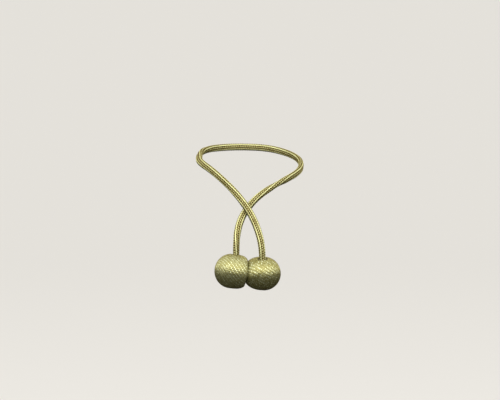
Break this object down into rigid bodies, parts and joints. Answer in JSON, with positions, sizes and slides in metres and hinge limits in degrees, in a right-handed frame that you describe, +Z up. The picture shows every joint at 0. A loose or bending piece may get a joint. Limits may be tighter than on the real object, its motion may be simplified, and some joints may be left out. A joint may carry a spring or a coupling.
{
  "type": "magnetic curtain tieback",
  "caption": "Braided satin cord that loops round a gathered curtain, crosses over itself in front and closes with magnetic thread-wound balls on its ends.",
  "frame": {"origin": "on the cord's inner face at the middle of the back of the loop, where the loop bears on the gathered curtain", "axes": "+Z up, +X to the right seen from the front, +Y from the front of the loop to its back; the balls hang at the bottom front"},
  "size_m": [0.1102, 0.0973, 0.149],
  "materials": {
    "braided_cord": "satin polyester thread, braided, olive gold, soft sheen",
    "wound_thread": "satin polyester thread, woven round the ball, olive gold, bright sheen"
  },
  "bodies": {
    "root": {"cord": "braided_cord", "ball_left": "wound_thread", "ball_right": "wound_thread"}
  },
  "joints": []
}
